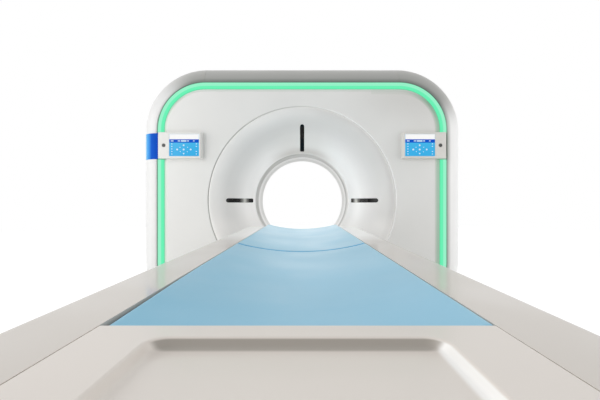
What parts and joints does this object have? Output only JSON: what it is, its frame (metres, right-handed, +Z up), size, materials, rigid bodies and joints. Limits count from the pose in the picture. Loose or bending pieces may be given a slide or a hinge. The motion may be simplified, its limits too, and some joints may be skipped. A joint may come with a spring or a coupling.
{
  "type": "ct scanner",
  "caption": "CT scanner with a ring-shaped gantry round a flared bore, a light strip, touch panels and a patient table that lifts and slides its cradle into the bore.",
  "frame": {"origin": "on the floor directly below the isocentre, the crossing of the bore axis and the scan plane", "axes": "+Z up, +Y along the bore axis from the patient table into the gantry, +X to the right seen from the table"},
  "size_m": [2.338, 3.715, 1.976],
  "materials": {
    "cover_white": "satin",
    "band_silver": "satin",
    "table_white": "satin",
    "scan_film": "satin",
    "light_guide": "frosted",
    "screen_glass": "gloss",
    "button_grey": "satin",
    "badge_blue": "gloss",
    "slot_window": "gloss",
    "housing_black": "satin",
    "frame_paint": "satin",
    "bearing_steel": "ground",
    "cast_aluminium": "cast",
    "contact_brass": "brushed",
    "detector_black": "anodised",
    "weight_iron": "rough",
    "belt_rubber": "matte",
    "arm_paint": "satin",
    "cradle_carbon": "satin",
    "mattress_blue": "coated"
  },
  "bodies": {
    "stand": {"gantry_base_frame": "frame_paint", "gantry_frame": "frame_paint", "plinth_cover": "band_silver", "lower_trim": "band_silver", "front_cover": "cover_white", "front_funnel": "cover_white", "front_bore_liner": "cover_white", "scan_window": "scan_film", "rear_bore_liner": "cover_white", "rear_funnel": "cover_white", "rear_cover": "cover_white", "top_cover": "band_silver", "left_side_cover": "band_silver", "right_side_cover": "band_silver", "light_strip": "light_guide", "left_panel_housing": "cover_white", "left_screen": "screen_glass", "right_panel_housing": "cover_white", "right_screen": "screen_glass", "side_badge": "badge_blue", "laser_windows": "slot_window", "laser_modules": "housing_black", "bearing_outer_ring": "bearing_steel", "brush_block": "housing_black", "drive_motor": "housing_black", "drive_belt": "belt_rubber", "couch_base_frame": "frame_paint", "lower_skirt": "table_white", "lift_actuator_body": "housing_black"},
    "rotor": {"rotor_drum": "cast_aluminium", "bearing_inner_ring": "bearing_steel", "slip_ring": "contact_brass", "xray_tube": "cast_aluminium", "collimator": "cast_aluminium", "hv_generator": "cast_aluminium", "detector_array": "detector_black", "data_unit": "cast_aluminium", "counterweights": "weight_iron"},
    "ball_set": {"bearing_balls": "bearing_steel"},
    "motor_pulley": {"motor_pulley": "cast_aluminium"},
    "middle_tier": {"middle_skirt": "table_white"},
    "outer_arm": {"scissor_arm_outer": "arm_paint"},
    "inner_arm": {"scissor_arm_inner": "arm_paint"},
    "lower_rollers": {"lower_rollers": "bearing_steel"},
    "upper_rollers": {"upper_rollers": "bearing_steel"},
    "actuator_rod": {"lift_actuator_rod": "bearing_steel"},
    "table_top": {"upper_frame": "frame_paint", "upper_skirt": "table_white", "under_tray": "table_white", "left_rail_cover": "table_white", "right_rail_cover": "table_white", "foot_end_cover": "table_white", "cradle_drive_motor": "housing_black"},
    "cradle_roller": {"cradle_drive_pulley": "belt_rubber"},
    "cradle": {"cradle_shell": "cradle_carbon", "cradle_rails": "bearing_steel", "mattress": "mattress_blue", "foot_panel": "table_white"},
    "left_button": {"left_button": "button_grey"},
    "right_button": {"right_button": "button_grey"}
  },
  "joints": [
    {"name": "rotor_spin", "type": "hinge", "parent": "stand", "child": "rotor", "pos_m": [0, 0, 1], "axis": [0, 1, 0], "continuous": true},
    {"name": "ball_orbit", "type": "hinge", "parent": "stand", "child": "ball_set", "pos_m": [0, 0.19, 1], "axis": [0, 1, 0], "continuous": true},
    {"name": "motor_pulley_spin", "type": "hinge", "parent": "stand", "child": "motor_pulley", "pos_m": [0.6, 0.1, 0.36], "axis": [0, 1, 0], "continuous": true},
    {"name": "couch_lift", "type": "hinge", "parent": "stand", "child": "outer_arm", "pos_m": [0, -2.45, 0.11], "axis": [1, 0, 0], "range_deg": [-21.1, 5.3]},
    {"name": "scissor_cross", "type": "hinge", "parent": "outer_arm", "child": "inner_arm", "pos_m": [0, -2.00609, 0.3401], "axis": [1, 0, 0], "range_deg": [-10.7, 42.3]},
    {"name": "table_level", "type": "hinge", "parent": "inner_arm", "child": "table_top", "pos_m": [0, -2.45, 0.5702], "axis": [1, 0, 0], "range_deg": [-21.2, 5.4]},
    {"name": "middle_tier_slide", "type": "slide", "parent": "stand", "child": "middle_tier", "axis": [0, 0, 1], "range_m": [-0.1722, 0.0434]},
    {"name": "actuator_extend", "type": "slide", "parent": "stand", "child": "actuator_rod", "axis": [0, -1, 0], "range_m": [-0.0478, 0.0121]},
    {"name": "lower_roller_turn", "type": "hinge", "parent": "inner_arm", "child": "lower_rollers", "pos_m": [0, -1.56218, 0.11], "axis": [1, 0, 0], "continuous": true},
    {"name": "upper_roller_turn", "type": "hinge", "parent": "outer_arm", "child": "upper_rollers", "pos_m": [0, -1.56218, 0.5702], "axis": [1, 0, 0], "continuous": true},
    {"name": "cradle_slide", "type": "slide", "parent": "table_top", "child": "cradle", "axis": [0, 1, 0], "range_m": [0, 1.7]},
    {"name": "cradle_roller_spin", "type": "hinge", "parent": "table_top", "child": "cradle_roller", "pos_m": [0, -1.28, 0.7185], "axis": [1, 0, 0], "range_deg": [-3250, 5]},
    {"name": "left_button_press", "type": "slide", "parent": "stand", "child": "left_button", "axis": [0, 1, 0], "range_m": [0, 0.003], "stiffness_N_per_m": 800, "springref_m": -0.0005},
    {"name": "right_button_press", "type": "slide", "parent": "stand", "child": "right_button", "axis": [0, 1, 0], "range_m": [0, 0.003], "stiffness_N_per_m": 800, "springref_m": -0.0005}
  ],
  "couplings": [
    {"joint": "ball_orbit", "follows": "rotor_spin", "ratio": 0.4821},
    {"joint": "motor_pulley_spin", "follows": "rotor_spin", "ratio": 11.1},
    {"joint": "scissor_cross", "follows": "couch_lift", "ratio": -2},
    {"joint": "table_level", "follows": "couch_lift", "ratio": 1},
    {"joint": "middle_tier_slide", "follows": "couch_lift", "m_per_rad": 0.4665},
    {"joint": "actuator_extend", "follows": "couch_lift", "m_per_rad": 0.129},
    {"joint": "cradle_roller_spin", "follows": "cradle_slide", "rad_per_m": -33.333}
  ]
}
